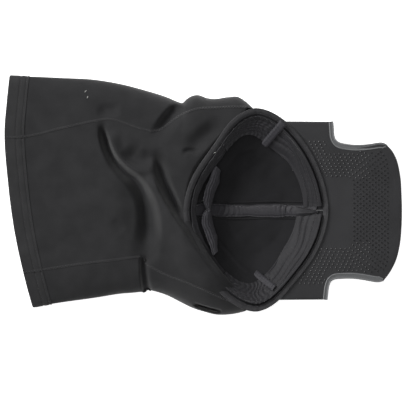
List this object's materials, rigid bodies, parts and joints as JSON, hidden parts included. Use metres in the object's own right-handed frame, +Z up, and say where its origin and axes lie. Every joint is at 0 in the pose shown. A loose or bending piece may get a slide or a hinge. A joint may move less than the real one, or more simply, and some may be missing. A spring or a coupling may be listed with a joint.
{
  "type": "visored stretch hood",
  "caption": "Soft black stretch hood with a perforated flip-up visor, a gathered sweatband and a long neck tube, laid flat with its head opening facing up.",
  "frame": {"origin": "on the resting surface, under the middle of the head opening", "axes": "+X towards the visor's tip, +Y towards the wearer's left, +Z up out of the head opening; the neck tube's hem lies at -X"},
  "size_m": [0.4194, 0.2531, 0.0381],
  "materials": {
    "fleece": "brushed stretch knit, matt charcoal black",
    "lining": "brushed inner face, matt near-black",
    "ribbon": "woven tape and satin binding, low sheen",
    "visor_knit": "dense fine knit over foam, matt charcoal",
    "foam": "thin foam core, hidden",
    "grey_binding": "folded grey edge binding with a slight sheen"
  },
  "bodies": {
    "hood": {"nape_panel": "fleece", "side_panel_left": "fleece", "side_panel_right": "fleece", "chin_panel": "fleece", "neck_hem_nape": "fleece", "neck_hem_front": "fleece", "nape_seam_left": "ribbon", "nape_seam_right": "ribbon", "chin_seam_left": "ribbon", "chin_seam_right": "ribbon", "chin_edge": "ribbon", "crown_rim_cord": "ribbon", "crown_left_half": "lining", "crown_right_half": "lining", "crown_seam_tape": "ribbon", "sweatband_left": "ribbon", "sweatband_right": "ribbon", "sweatband_back": "ribbon", "sweatband_front_join": "ribbon", "nape_elastic": "ribbon", "side_tab_left": "ribbon", "side_tab_right": "ribbon", "visor_root": "visor_knit", "root_binding_left": "grey_binding", "root_binding_right": "grey_binding"},
    "visor_tongue": {"visor_upper_knit": "visor_knit", "visor_foam": "foam", "visor_lower_knit": "visor_knit", "tongue_binding_left": "grey_binding", "tongue_binding_right": "grey_binding"}
  },
  "joints": [
    {"name": "visor_flip", "type": "hinge", "parent": "hood", "child": "visor_tongue", "pos_m": [0.0815, -0.001, 0.01505], "axis": [0, -1, 0], "range_deg": [0, 90]}
  ]
}
